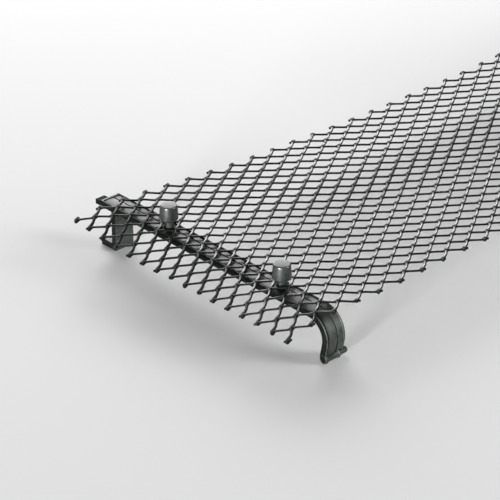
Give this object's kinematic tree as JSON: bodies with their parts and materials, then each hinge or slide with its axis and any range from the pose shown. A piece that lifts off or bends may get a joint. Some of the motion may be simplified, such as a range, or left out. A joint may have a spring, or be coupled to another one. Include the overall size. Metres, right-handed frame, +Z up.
{
  "type": "gutter guard",
  "caption": "Length of black diamond netting held over a rain gutter by moulded clip straps that hook over its bead and back fold, with push-on caps on pegs through the netting.",
  "frame": {"origin": "middle of the underside of the bounding box, on the floor that the hooks and jaws stand on", "axes": "X along the gutter, near end at -X; +Y towards the roof (back); -Y the front bead; +Z up"},
  "size_m": [0.5, 0.166, 0.038],
  "materials": {
    "netting": "black extruded polyethylene, satin, with pale streaks of light on one set of strands",
    "strap": "black-grey moulded plastic, satin",
    "cap": "black moulded plastic, smooth top"
  },
  "bodies": {
    "root": {"mesh_near": "netting", "mesh_middle": "netting", "mesh_far": "netting", "clip_strap_near": "strap", "clip_strap_far": "strap", "cap_near_back": "cap", "cap_near_front": "cap", "cap_far_back": "cap", "cap_far_front": "cap"}
  },
  "joints": []
}
